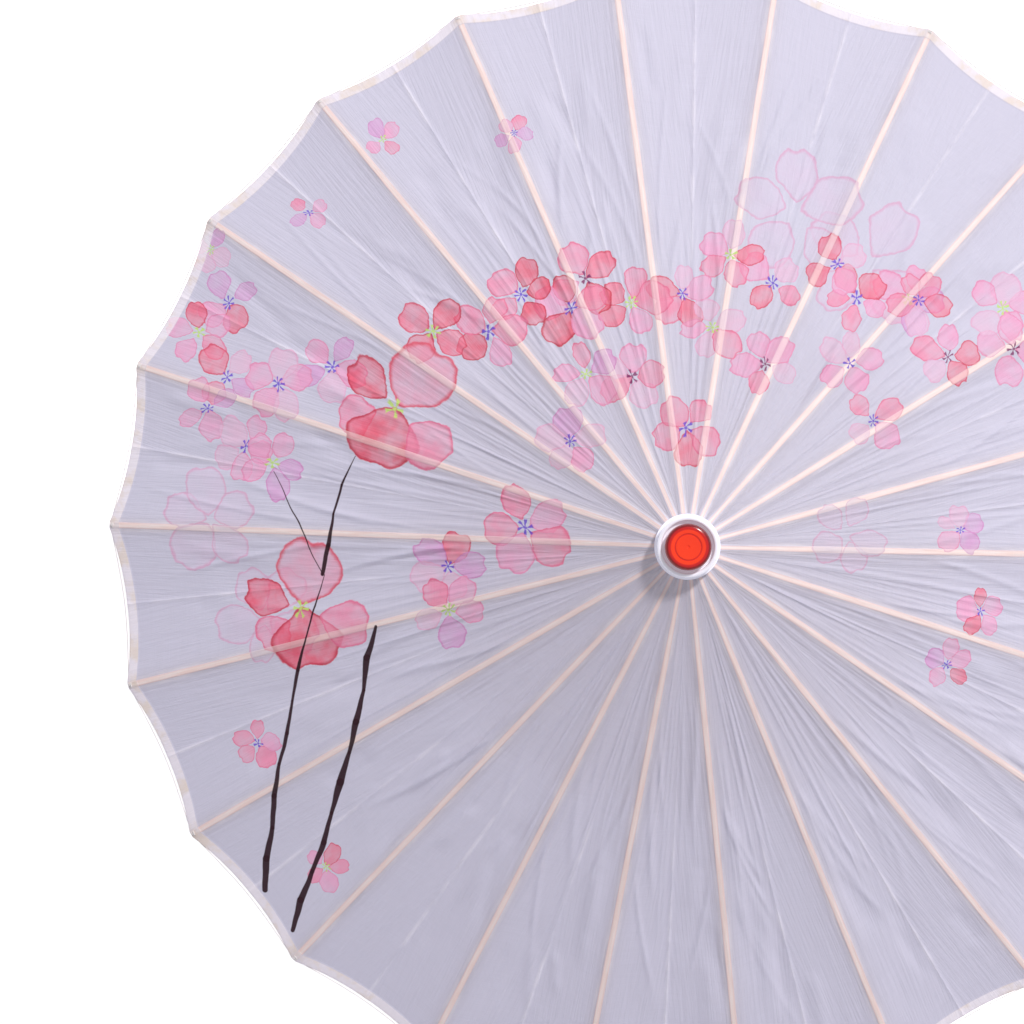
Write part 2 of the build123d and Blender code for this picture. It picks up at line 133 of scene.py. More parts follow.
def tube(path, radius, sides):
    """Points and quads of a thin round tube along a path."""
    heading = np.gradient(path, axis=0)
    heading /= np.linalg.norm(heading, axis=1)[:, None]
    across = np.cross(heading, [0.0, 0.0, 1.0])
    across /= np.linalg.norm(across, axis=1)[:, None]
    up = np.cross(across, heading)
    turn = np.arange(sides) * 2 * pi / sides
    ring = across[:, None] * np.cos(turn)[:, None] + up[:, None] * np.sin(turn)[:, None]
    faces = []
    for start in range(0, (len(path) - 1) * sides, sides):
        for j in range(sides):
            k = (j + 1) % sides
            faces.append((start + j, start + k, start + sides + k, start + sides + j))
    return (path[:, None] + radius * ring).reshape(-1, 3), faces


# ---------------------------------------------------------------- shader helpers
def node(tree, kind, sockets=None, **settings):
    """A shader node with its settings, and each socket linked or set."""
    made = tree.nodes.new(kind)
    for key, value in settings.items():
        setattr(made, key, value)
    for key, value in (sockets or {}).items():
        if isinstance(value, bpy.types.NodeSocket):
            tree.links.new(value, made.inputs[key])
        else:
            made.inputs[key].default_value = value
    return made


def maths(tree, operation, a, b=0.0, c=0.0, clamp=False):
    sockets = {0: a, 1: b, 2: c}
    return node(tree, "ShaderNodeMath", sockets, operation=operation, use_clamp=clamp).outputs[0]


def plus(tree, a, b):
    return maths(tree, "ADD", a, b)


def minus(tree, a, b):
    return maths(tree, "SUBTRACT", a, b)


def times(tree, a, b):
    return maths(tree, "MULTIPLY", a, b)


def size_of(tree, value):
    return maths(tree, "ABSOLUTE", value)


def vector_maths(tree, operation, a, b=(0.0, 0.0, 0.0)):
    made = node(tree, "ShaderNodeVectorMath", {0: a, 1: b}, operation=operation)
    return made.outputs[1] if operation in ("LENGTH", "DOT_PRODUCT") else made.outputs[0]


def scaled(tree, vector, x, y, z=0.0):
    return vector_maths(tree, "MULTIPLY", vector, (x, y, z))


def split(tree, vector):
    return node(tree, "ShaderNodeSeparateXYZ", {0: vector}).outputs


def step_up(tree, value, low, high, to=1.0):
    """0 below low and `to` above high, eased."""
    sockets = {"Value": value, "From Min": low, "From Max": high, "To Min": 0.0, "To Max": to}
    return node(tree, "ShaderNodeMapRange", sockets, interpolation_type="SMOOTHSTEP").outputs[0]


def step_down(tree, value, low, high):
    """1 below low and 0 above high, eased."""
    return minus(tree, 1.0, step_up(tree, value, low, high))


def mix(tree, share, a, b, blend="MIX"):
    sockets = {0: share, 6: a, 7: b}
    return node(tree, "ShaderNodeMix", sockets, data_type="RGBA", blend_type=blend).outputs[2]


def noise(tree, place, scale, detail=2.0, roughness=0.5):
    sockets = {"Vector": place, "Scale": scale, "Detail": detail, "Roughness": roughness}
    return node(tree, "ShaderNodeTexNoise", sockets).outputs[0]


def wave(tree, place, direction, **sockets):
    sockets = {"Vector": place, **sockets}
    return node(tree, "ShaderNodeTexWave", sockets, bands_direction=direction).outputs[1]


def object_place(tree):
    return node(tree, "ShaderNodeTexCoord").outputs["Object"]


def from_axis(tree, x, y):
    """Distance from the shaft's axis."""
    return maths(tree, "SQRT", plus(tree, times(tree, x, x), times(tree, y, y)))


def rgb(*display):
    """A colour from display values of 0 to 255, as the linear values that sockets take."""
    shares = [c / 255 for c in display]
    linear = [c / 12.92 if c <= 10 / 255 else ((c + 0.055) / 1.055) ** 2.4 for c in shares]
    return (*linear, 1.0)


def material(name):
    made = bpy.data.materials.new(name)
    made.use_nodes = True
    made.node_tree.nodes.clear()
    return made, made.node_tree


def finish_material(made, tree, sockets, bump=None):
    """Ends a material in one principled shader, with an optional (height, distance) bump."""
    if bump:
        relief = {"Height": bump[0], "Distance": bump[1], "Strength": 1.0}
        sockets = {**sockets, "Normal": node(tree, "ShaderNodeBump", relief).outputs[0]}
    shader = node(tree, "ShaderNodeBsdfPrincipled", sockets)
    node(tree, "ShaderNodeOutputMaterial", {0: shader.outputs[0]})
    return made


# ---------------------------------------------------------------- the print's brushes
# A brush is a node group that adds one stroke to the colour under it. Its inputs are a
# (label, kind) list, where the kinds are colours, vectors and floats.
KINDS = {"c": "NodeSocketColor", "v": "NodeSocketVector", "f": "NodeSocketFloat"}
PLACED = [("Under", "c"), ("Place", "v"), ("Centre", "v"), ("Turn", "v"), ("Size", "v")]


def group(name, inputs):
    """An empty node group with a colour output, and its input and output nodes."""
    made = bpy.data.node_groups.new(name, "ShaderNodeTree")
    for label, kind in inputs:
        made.interface.new_socket(label, in_out="INPUT", socket_type=KINDS[kind])
    made.interface.new_socket("Colour", in_out="OUTPUT", socket_type=KINDS["c"])
    given, out = made.nodes.new("NodeGroupInput"), made.nodes.new("NodeGroupOutput")
    return made, given.outputs, out.inputs


def stroke(tree, brush, sockets):
    return node(tree, "ShaderNodeGroup", sockets, node_tree=brush).outputs[0]


def in_motif(made, given):
    """The place in a motif's own axes, where its size is 1, and that place's X and Y."""
    sockets = {"Vector": given["Place"], "Location": given["Centre"],
               "Rotation": given["Turn"], "Scale": given["Size"]}
    local = node(made, "ShaderNodeMapping", sockets, vector_type="TEXTURE").outputs[0]
    return local, *split(made, local)[:2]


def petal_brush():
    """One petal: a thin wash with a darker rim, notched at its tip and narrow at its base."""
    notch_depth, waist_depth, rim_strength = 0.22, 0.45, 0.85
    made, given, out = group("petal", PLACED + [("Wash", "c"), ("Rim", "c"), ("Pool", "f")])
    local, x, y = in_motif(made, given)
    aside = size_of(made, y)
    notch = step_up(made, x, 0.3, 1.1, notch_depth)
    notch = times(made, notch, step_down(made, aside, 0.0, 0.45))
    waist = times(made, step_up(made, times(made, x, -1.0), 0.0, 1.0, waist_depth), aside)
    reach = plus(made, vector_maths(made, "LENGTH", local), plus(made, notch, waist))
    inside = step_down(made, reach, 0.965, 1.03)
    rim = times(made, inside, step_up(made, reach, 0.84, 0.99, rim_strength))
    washed = mix(made, times(made, inside, given["Pool"]), given["Under"], given["Wash"])
    made.links.new(mix(made, rim, washed, given["Rim"]), out[0])
    return made


def heart_brush():
    """Stamens: short strokes round a blossom's heart."""
    made, given, out = group("heart", PLACED + [("Ink", "c"), ("Count", "f")])
    local, x, y = in_motif(made, given)
    bearing = times(made, maths(made, "ARCTAN2", y, x), given["Count"])
    spokes = step_up(made, maths(made, "COSINE", bearing), 0.1, 0.6)
    reach = vector_maths(made, "LENGTH", local)
    ring = times(made, step_up(made, reach, 0.2, 0.3), step_down(made, reach, 0.8, 1.0))
    core = step_down(made, reach, 0.1, 0.3)
    inked = maths(made, "ADD", times(made, spokes, ring), core, clamp=True)
    made.links.new(mix(made, times(made, inked, 0.9), given["Under"], given["Ink"]), out[0])
    return made


def twig_brush():
    """One tapering stroke from a point along a vector."""
    labels = [("Under", "c"), ("Place", "v"), ("From", "v"), ("Along", "v"), ("Share", "f"),
              ("Start", "f"), ("Taper", "f"), ("Ink", "c")]
    made, given, out = group("twig", labels)
    offset = vector_maths(made, "SUBTRACT", given["Place"], given["From"])
    along = vector_maths(made, "DOT_PRODUCT", offset, given["Along"])
    along = maths(made, "MULTIPLY", along, given["Share"], clamp=True)
    sockets = {0: given["Along"], "Scale": along}
    nearest = node(made, "ShaderNodeVectorMath", sockets, operation="SCALE").outputs[0]
    gap = vector_maths(made, "LENGTH", vector_maths(made, "SUBTRACT", offset, nearest))
    half = maths(made, "MULTIPLY_ADD", given["Taper"], along, given["Start"])
    inked = step_up(made, minus(made, half, gap), -0.3, 0.3)
    made.links.new(mix(made, times(made, inked, 0.98), given["Under"], given["Ink"]), out[0])
    return made


petal, heart, bark_stroke = petal_brush(), heart_brush(), twig_brush()

# ---------------------------------------------------------------- colours of the bare cloth
SILK = rgb(201, 198, 216)
HEM_PALE, HEM_BEIGE, STITCH = rgb(240, 232, 240), rgb(234, 218, 206), rgb(176, 168, 190)
# The paler silk below is a painted highlight, mixed in beside each rib and along each crease.
HIGHLIGHT_SILK = rgb(236, 231, 242)
RIB_PALE, RIB_WARM, RIB_EDGE = rgb(255, 240, 238), rgb(255, 228, 222), rgb(248, 212, 208)

# ---------------------------------------------------------------- the print's layout
# Millimetres in plan. The layout is drawn square to the view, which is turned about the shaft.
PRINT_TURN = radians(1.7)

# Each tint is the wash's colour, then its rim's.
TINTS = {
    "crimson": (rgb(224, 84, 110), rgb(186, 36, 62)),
    "red": (rgb(230, 114, 140), rgb(205, 66, 94)),
    "hollow": (rgb(224, 158, 184), rgb(212, 62, 86)),
    "rose": (rgb(232, 140, 172), rgb(220, 104, 140)),
    "pink": (rgb(230, 162, 198), rgb(220, 132, 172)),
    "mauve": (rgb(212, 158, 206), rgb(202, 132, 188)),
    "pale": (rgb(222, 184, 210), rgb(218, 162, 196)),
    "ghost": (rgb(208, 194, 216), rgb(210, 160, 192)),
}
WARM, COOL = ["red", "rose", "rose", "pink"], ["pink", "pink", "pale", "mauve"]
INKS = {"violet": rgb(104, 72, 200), "lime": rgb(188, 218, 116), "plum": rgb(126, 38, 100)}
HEART_INKS = ["violet", "violet", "violet", "lime", "plum"]
BARK = rgb(44, 8, 24)
# A full blossom's petals, back to front, as (bearing, reach, length, width, tint) for size 1.
FULL_PETALS = [
    (0, 1.1, 1.0, 0.95, "hollow"),
    (80, 1.05, 0.7, 0.5, "crimson"),
    (140, 1.0, 0.55, 0.6, "rose"),
    (200, 0.8, 0.85, 1.0, "crimson"),
    (265, 1.3, 0.7, 0.7, "rose"),
]

draw = np.random.default_rng(31)


def blossom(size, tints):
    """Uneven petals round a heart, as (bearing, reach, length, width, tint)."""
    turn, count = draw.uniform(0, 360), draw.choice([4, 5, 5])
    petals = []
    for i in range(count):
        length = size * draw.uniform(0.82, 1.15)
        bearing = turn + (i + draw.uniform(-0.12, 0.12)) * 360 / count
        reach, width = size * draw.uniform(1.15, 1.4), length * draw.uniform(0.68, 0.95)
        petals.append((bearing, reach, length, width, str(draw.choice(tints))))
    return petals


def polar(bearing, reach):
    return reach * cos(radians(bearing)), reach * sin(radians(bearing))


def between(ends, t):
    return ends[0] + (ends[1] - ends[0]) * t


def spray(bearings, reaches, spread, count, size, tints, heart_size=0.45):
    """Blossoms strewn along an arc about the hub, as (x, y, heart's ink, its size, petals)."""
    strewn = []
    for i in range(count):
        t = (i + draw.uniform(0.3, 0.7)) / count
        side = 1 if i % 2 else -1
        reach = between(reaches, t) + spread * side * draw.uniform(0.5, 1.0)
        ink = str(draw.choice(HEART_INKS))
        place = polar(between(bearings, t), reach)
        strewn.append((*place, ink, heart_size * size, blossom(size, tints)))
    return strewn


def full_blossom(bearing, reach, turn, size):
    """A large open blossom: one big hollow petal at the back, and deeper ones over it."""
    petals = [(turn + angle, size * away, size * length, size * width, tint)
              for angle, away, length, width, tint in FULL_PETALS]
    return (*polar(bearing, reach), "lime", 0.27 * size, petals)


BLOSSOMS = [
    *spray((168, 196), (385, 275), 8, 2, 17, ["ghost"], heart_size=0),
    *spray((52, 76), (250, 245), 10, 2, 22, ["ghost"], heart_size=0),
    *spray((-2, 12), (105, 140), 4, 1, 14, ["ghost"], heart_size=0),
    *spray((8, 50), (330, 250), 16, 5, 12, COOL),
    *spray((30, 96), (250, 185), 16, 7, 11, WARM + ["pale"]),
    *spray((98, 142), (180, 225), 14, 6, 12, WARM + ["crimson"]),
    *spray((22, 150), (175, 112), 14, 7, 11, COOL + ["rose"]),
    *spray((84, 92), (78, 84), 0, 1, 12, WARM),
    *spray((166, 182), (110, 118), 0, 1, 15, WARM),
    *spray((150, 170), (395, 330), 14, 5, 11, WARM + COOL),
    *spray((148, 172), (290, 320), 16, 3, 12, COOL),
    *spray((180, 200), (185, 160), 10, 2, 12, WARM + COOL),
    full_blossom(155, 230, 50, 27),
    full_blossom(190, 280, 80, 26),
    *spray((108, 154), (325, 405), 14, 4, 7, COOL + ["rose"]),
    *spray((196, 232), (345, 350), 4, 2, 8, WARM),
    *spray((-34, 10), (225, 200), 10, 3, 8, COOL + ["red"]),
]


def twig(start, end, bow, root, tip, buds):
    """Points (x, y, half width) along a bowed stroke that swells and kinks at its buds."""
    (x0, y0), (x1, y1) = start, end
    length = hypot(x1 - x0, y1 - y0)
    path = []
    for i in range(2 * buds + 1):
        t = i / (2 * buds)
        aside = bow * 4 * t * (1 - t) + draw.uniform(-1.6, 1.6)
        width = between((root, tip), t) * (draw.uniform(1.1, 1.9) if i % 2 else 0.9)
        x = between((x0, x1), t) + aside * (y0 - y1) / length
        y = between((y0, y1), t) + aside * (x1 - x0) / length
        path.append((x, y, width))
    return path


FORK = polar(185, 260)
TWIGS = [
    twig(polar(220, 400), FORK, 5, 2.6, 0.35, 5),
    twig(polar(225, 405), polar(195, 230), -6, 2.2, 1.5, 5),
    twig(FORK, polar(165, 245), 3, 1.8, 0.3, 2),
    twig(FORK, polar(170, 300), 2, 0.4, 0.3, 1),
]
MOTIF_MARGIN = 4  # how far the ink may creep past a motif's outline
TWIG_FULLNESS = 0.85
BEHIND_INK = 0.36  # how far the bamboo behind the cloth pales a petal


def print_on(tree, colour, place, straight, azimuth, half, on_rib):
    """Adds to a colour every motif that reaches the wedge of cloth about this azimuth."""

    def reaches(x, y, size):
        distance = max(hypot(x, y), size + MOTIF_MARGIN)
        turn = (atan2(y, x) + PRINT_TURN - azimuth + pi) % (2 * pi) - pi
        return abs(turn) < half + asin((size + MOTIF_MARGIN) / distance)

    def paled(shade):
        share = BEHIND_INK if on_rib else 0.0
        return tuple(between(ends, share) for ends in zip(shade, RIB_PALE))

    pool = step_up(tree, noise(tree, place, 0.055, 3.0), 0.25, 0.75, 0.5)
    pool = maths(tree, "ADD", pool, 0.42, clamp=True)
    for i, (x, y, ink, size, petals) in enumerate(BLOSSOMS):
        for bearing, reach, length, width, tint in petals:
            aside = polar(bearing, reach)
            px, py = x + aside[0], y + aside[1]
            if not reaches(px, py, max(length, width)):
                continue
            wash, rim = map(paled, TINTS[tint])
            sockets = {"Under": colour, "Place": place, "Centre": (px, py, 0),
                       "Turn": (0, 0, radians(bearing)), "Size": (length, width, 1),
                       "Wash": wash, "Rim": rim, "Pool": pool}
            colour = stroke(tree, petal, sockets)
        if size and reaches(x, y, size):
            sockets = {"Under": colour, "Place": place, "Centre": (x, y, 0),
                       "Turn": (0, 0, i * 1.7), "Size": (1.1 * size, 0.9 * size, 1),
                       "Ink": INKS[ink], "Count": 5.0 + i % 3}
            colour = stroke(tree, heart, sockets)
    for path in TWIGS:
        for (x0, y0, w0), (x1, y1, w1) in zip(path, path[1:]):
            length = hypot(x1 - x0, y1 - y0)
            if not reaches((x0 + x1) / 2, (y0 + y1) / 2, length / 2 + MOTIF_MARGIN):
                continue
            sockets = {"Under": colour, "Place": straight, "From": (x0, y0, 0),
                       "Along": (x1 - x0, y1 - y0, 0), "Share": 1 / length**2,
                       "Start": TWIG_FULLNESS * w0, "Taper": TWIG_FULLNESS * (w1 - w0),
                       "Ink": BARK}
            colour = stroke(tree, bark_stroke, sockets)
    return colour


# ---------------------------------------------------------------- cloth materials
# All in millimetres. The cloth's "plan" attribute is its place seen from above. Its "lay" is
# the distance along the rib from the neck, the distance across from the rib, and from the edge.
RIB_HIGHLIGHT_FADES = (2.2, 6.0)  # where the painted highlight beside a rib fades out
RIB_HALF_WIDTH = (1.55, 0.75)  # as it shows at the neck, and what it gains further out
RIB_WIDENS = (10.0, 90.0)
# Where the painted highlight along a crease fades across it, and where it starts along it.
CREASE_FADES = (0.3, 2.2)
CREASE_STARTS = (130.0, 280.0)
HEM_SHOWS = (MM * HEM - 0.6, MM * HEM + 0.3)
STITCHES = MM * HEM - 0.3
THROUGH_SILK, THROUGH_RIB = 0.28, 0.02  # shares of the light that comes through
RELIEF = 0.00022


def bare_silk(tree, plan, lay, crease):
    """The undyed cloth with a painted highlight beside its rib, and either the rib showing through
    or a painted highlight along its crease.
    """
    along, across, _ = split(tree, lay)
    side = size_of(tree, across)
    # Painted highlight: beside each rib the silk pales unevenly, broken up by noise.
    highlight_breakup = step_up(tree, noise(tree, scaled(tree, lay, 0.03, 0.05), 1.0, 3.0), 0.25, 0.7, 0.6)
    rib_highlight = times(tree, step_down(tree, side, *RIB_HIGHLIGHT_FADES), highlight_breakup)
    silk = mix(tree, rib_highlight, SILK, HIGHLIGHT_SILK)
    if crease is None:
        narrow, gain = RIB_HALF_WIDTH
        past = minus(tree, side, plus(tree, step_up(tree, along, *RIB_WIDENS, gain), narrow))
        patch = step_up(tree, noise(tree, scaled(tree, lay, 0.05, 0.4), 1.0, 3.0), 0.3, 0.7)
        shown, core = step_down(tree, past, -0.5, 0.3), step_down(tree, past, -1.2, -0.3)
        silk = mix(tree, times(tree, shown, 0.75), silk, RIB_EDGE)
        bamboo = mix(tree, patch, RIB_PALE, RIB_WARM)
        return mix(tree, times(tree, core, 0.85), silk, bamboo)
    # Painted highlight: a paler line along the crease, from partway out towards the rim, broken up
    # unevenly.
    from_crease = vector_maths(tree, "DOT_PRODUCT", plan, tuple(sideways(crease)))
    crease_highlight = step_down(tree, size_of(tree, from_crease), *CREASE_FADES)
    crease_highlight = times(tree, crease_highlight, step_up(tree, along, *CREASE_STARTS, 0.45))
    broken = step_up(tree, noise(tree, plan, 0.03, 3.0, 0.6), 0.35, 0.65)
    return mix(tree, times(tree, crease_highlight, broken), silk, HIGHLIGHT_SILK)


def creep(tree, plan, scale, detail, far):
    """A wandering offset in plan, up to half of `far` each way."""
    sockets = {"Vector": plan, "Scale": scale, "Detail": detail}
    swirl = node(tree, "ShaderNodeTexNoise", sockets).outputs[1]
    return scaled(tree, vector_maths(tree, "SUBTRACT", swirl, (0.5, 0.5, 0.5)), far, far)


def hemmed(tree, colour, plan, edge):
    """The turned hem is double, so it is whiter, with beige patches where it is pasted."""
    patch = step_up(tree, noise(tree, plan, 0.05, 3.0, 0.6), 0.45, 0.65)
    doubled = times(tree, step_down(tree, edge, *HEM_SHOWS), 0.75)
    colour = mix(tree, doubled, colour, mix(tree, patch, HEM_PALE, HEM_BEIGE))
    stitch = step_down(tree, size_of(tree, minus(tree, edge, STITCHES)), 0.1, 0.5)
    return mix(tree, times(tree, stitch, 0.25), colour, STITCH)


def cloth_relief(tree, lay):
    """Fine weave, and creases that run with the pull of the ribs."""
    fineness = {"Scale": 0.45, "Distortion": 0.6, "Detail": 1.0}
    weave = plus(tree, wave(tree, lay, "X", **fineness), wave(tree, lay, "Y", **fineness))
    pull = noise(tree, scaled(tree, lay, 0.02, 0.35), 1.0, 4.0, 0.6)
    height = maths(tree, "MULTIPLY_ADD", pull, 6.0, times(tree, weave, 0.35))
    sockets = {"Height": height, "Distance": RELIEF, "Strength": 0.6}
    return node(tree, "ShaderNodeBump", sockets).outputs[0]


def cloth_material(name, azimuth, half, crease=None):
    """Sheer printed silk for a wedge about one azimuth, with a crease at another. With no
    crease, the wedge is the strip over a rib, and pale bamboo shows through."""
    made, tree = material(name)
    plan, lay = [node(tree, "ShaderNodeAttribute", attribute_name=key).outputs["Vector"]
                 for key in ("plan", "lay")]
    # Threads of uneven thickness run along and across each gore.
    warp = noise(tree, scaled(tree, lay, 0.012, 1.6), 1.0, 3.0)
    weft = noise(tree, scaled(tree, lay, 1.6, 0.03), 1.0, 3.0)
    slub = maths(tree, "MULTIPLY_ADD", plus(tree, warp, weft), 0.10, 0.90)
    # The ink creeps along the threads, so the motifs' outlines wander.
    near, far = creep(tree, plan, 0.22, 2.0, 2.6), creep(tree, plan, 0.045, 1.0, 7.0)
    sockets = {"Vector": plan, "Angle": -PRINT_TURN}
    square = node(tree, "ShaderNodeVectorRotate", sockets, rotation_type="Z_AXIS").outputs[0]
    straight = vector_maths(tree, "ADD", square, scaled(tree, far, 0.35, 0.35))
    place = vector_maths(tree, "ADD", vector_maths(tree, "ADD", square, far), near)
    colour = bare_silk(tree, plan, lay, crease)
    colour = print_on(tree, colour, place, straight, azimuth, half, crease is None)
    thickness = node(tree, "ShaderNodeCombineColor", {0: slub, 1: slub, 2: slub}).outputs[0]
    colour = mix(tree, 1.0, colour, thickness, "MULTIPLY")
    colour = hemmed(tree, colour, plan, split(tree, lay)[2])
    relief = cloth_relief(tree, lay)
    sockets = {"Base Color": colour, "Roughness": 0.62, "Sheen Weight": 0.08,
               "Sheen Roughness": 0.4, "Normal": relief}
    front = node(tree, "ShaderNodeBsdfPrincipled", sockets).outputs[0]
    sockets = {"Color": colour, "Normal": relief}
    through = node(tree, "ShaderNodeBsdfTranslucent", sockets).outputs[0]
    sockets = {0: THROUGH_RIB if crease is None else THROUGH_SILK, 1: front, 2: through}
    both = node(tree, "ShaderNodeMixShader", sockets).outputs[0]
    node(tree, "ShaderNodeOutputMaterial", {0: both})
    return made


def thread_material():
    """White twisted cotton."""
    made, tree = material("thread")
    twist = wave(tree, object_place(tree), "DIAGONAL", Scale=900.0, Distortion=2.0)
    # The twist is paler on its ridges and darker in its grooves: painted shade that follows the
    # bump.
    colour = mix(tree, twist, rgb(226, 218, 220), rgb(250, 246, 246))
    return finish_material(made, tree, {"Base Color": colour, "Roughness": 0.8}, (twist, 0.0001))


thread = thread_material()

# ---------------------------------------------------------------- the cloth's surface
PULLS, TUCKS, BUCKLES = 11, 5, 6  # wrinkles of each kind in one gore
HEM_ROWS = np.array([0.0, 0.0005, 0.0014, 0.003, 0.0048, 0.0066, 0.0073, 0.0081, 0.0090])
ROWS = np.concatenate([np.linspace(0, 1 - 0.0105 / cloth_length, 110),
                       1 - HEM_ROWS[::-1] / cloth_length])
COLUMNS = np.linspace(0, 1, 37)
STRIP_COLUMNS = np.array([-1.0, -0.86, -0.6, 0.0, 0.6, 0.86, 1.0])
STRIP_RISE = np.array([0.0, 0.00016, 0.00028, 0.0003, 0.00028, 0.00016, 0.0])
NECK_ROWS, NECK_COLUMNS = 14, 11


def ridges(gore):
    """One gore's wrinkles: (share of length from, to, across from, to, half width, height)."""
    dice = np.random.default_rng(400 + gore)
    found = []
    for i in range(PULLS):
        start, end = dice.uniform(0.02, 0.25), dice.uniform(0.34, 0.86)
        at = (i + dice.uniform(0.1, 0.9)) / PULLS
        to = at + dice.normal(0, 0.07)
        found.append((start, end, at, to, dice.uniform(0.0009, 0.0021),
                      dice.uniform(0.0002, 0.0009)))
    for _ in range(TUCKS):
        start = dice.uniform(0.2, 0.6)
        at = dice.choice([0.05, 0.95])
        end = start + dice.uniform(0.2, 0.4)
        to = at + (0.5 - at) * dice.uniform(0.4, 1.2)
        found.append((start, end, at, to, dice.uniform(0.0014, 0.0032),
                      dice.uniform(0.0004, 0.0014)))
    for _ in range(BUCKLES):
        start = dice.uniform(0.45, 0.8)
        at = dice.uniform(0.12, 0.88)
        end = start + dice.uniform(0.08, 0.22)
        to = at + dice.normal(0, 0.1)
        found.append((start, end, at, to, dice.uniform(0.004, 0.010),
                      dice.choice([-1, 1]) * dice.uniform(0.0006, 0.0018)))
    return found


wrinkles = [ridges(g) for g in range(RIBS)]


def lift(gore, share, across, width):
    """Height of the wrinkles at a share of the length and of a gore's width."""
    total = np.zeros_like(share * across)
    for start, end, at_start, at_end, half, height in wrinkles[gore % RIBS]:
        t = (share - start) / (end - start)
        window = smooth(0, 0.25, t) * (1 - smooth(0.7, 1.0, t))
        gap = (across - between((at_start, at_end), t)) * width
        total += height * window * np.exp(-((gap / half) ** 2))
    from_rib = np.minimum(across, 1 - across) * width
    return total * smooth(0.0, 0.007, from_rib) * (1 - smooth(0.93, 0.97, share))


def hem_height(from_edge):
    """The double hem stands proud of the cloth, and its very edge turns down."""
    rise = HEM_RISE * (1 - smooth(HEM - 0.0003, HEM + 0.0003, from_edge))
    return rise - EDGE_DROP * (1 - smooth(0, 0.0008, from_edge))


def cloth_points(rib, side):
    """Points of half a gore beside a rib, from the neck to the rim and from rib to crease."""
    azimuth = rib * GORE
    share, across = np.broadcast_arrays(ROWS[:, None], COLUMNS[None, :])
    rib_r = between((NECK_R, RIM_R), share)
    crease_r = between((NECK_R, crease_rim_r), share)
    edge = rib_r[..., None] * radial(azimuth) + side * STRIP * sideways(azimuth)
    edge[..., 2] += APEX_Z - SLOPE * rib_r - STRIP_DROP
    crease = crease_r[..., None] * radial(azimuth + side * GORE / 2)
    crease[..., 2] += APEX_Z - crease_slope * crease_r
    points = edge * (1 - across[..., None]) + crease * across[..., None]
    outward = points * [1, 1, 0]
    outward /= np.linalg.norm(outward, axis=-1)[..., None]
    points -= outward * (1.2 * SCALLOP * across * (1 - across) * share**6)[..., None]
    width = 2 * rib_r * sin(GORE / 2)
    from_rib, from_crease = across * width / 2, (1 - across) * width / 2
    from_edge = (1 - share) * cloth_length
    gore, of_gore = (rib, across / 2) if side > 0 else (rib - 1, 1 - across / 2)
    height = lift(gore, share, of_gore, width)
    sunk = (1 - np.exp(-from_rib / 0.003)) * np.sin(pi * np.clip(across, 0, 1)) ** 0.5
    height -= PUFF * sunk * smooth(0, 0.2, share)
    height += PUFF * np.exp(-((from_crease / 0.0014) ** 2)) * smooth(0.35, 0.6, share)
    points[..., 2] += height + hem_height(from_edge)
    lay = np.stack([share * cloth_length, side * (STRIP + from_rib), from_edge], -1) * MM
    return points.reshape(-1, 3), lay.reshape(-1, 3)


def with_thread(cloth, path, sides):
    """Adds a thread along a path to a cloth's points, lay, faces and material slots."""
    points, lay, faces, slots = cloth
    more, quads = tube(path, THREAD_R, sides)
    faces = faces + [[i + len(points) for i in f] for f in quads]
    lay = np.concatenate([lay, np.zeros_like(more)])
    return np.concatenate([points, more]), lay, faces, slots + [1] * len(quads)


def cloth_piece(name, cloth, materials):
    points, lay, faces, slots = cloth
    attributes = [("plan", points * [MM, MM, 0]), ("lay", lay)]
    made = link(name, points, faces, attributes, materials, slots)
    return made


def half_gore(rib, side, silk):
    """Half of the cloth between two ribs, with its half of the edge thread. It is glued at
    one rib and creased along the gore's middle."""
    azimuth = rib * GORE
    faces = grid_faces(len(ROWS), len(COLUMNS), flip=side < 0).tolist()
    t = np.linspace(0, 1, 17)
    bearing = azimuth + side * GORE / 2 * t
    tip, middle = RIM_R - 0.0004, RIM_R * cos(GORE / 2) - THREAD_INSET
    reach = between((tip, middle), 1 - (1 - t) ** 1.8)
    height = APEX_Z - SLOPE * RIM_R - THREAD_DROP * np.sin(pi * t / 2) - THREAD_DROP
    path = np.stack([reach * np.cos(bearing), reach * np.sin(bearing), height], 1)
    cloth = with_thread((*cloth_points(rib, side), faces, [0] * len(faces)), path, sides=6)
    name = f"cloth_{rib + 1:02d}_{'left' if side > 0 else 'right'}"
    made = cloth_piece(name, cloth, [silk, thread])
    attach(made, f"rib_{rib + 1:02d}")
    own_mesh(made)
    return made


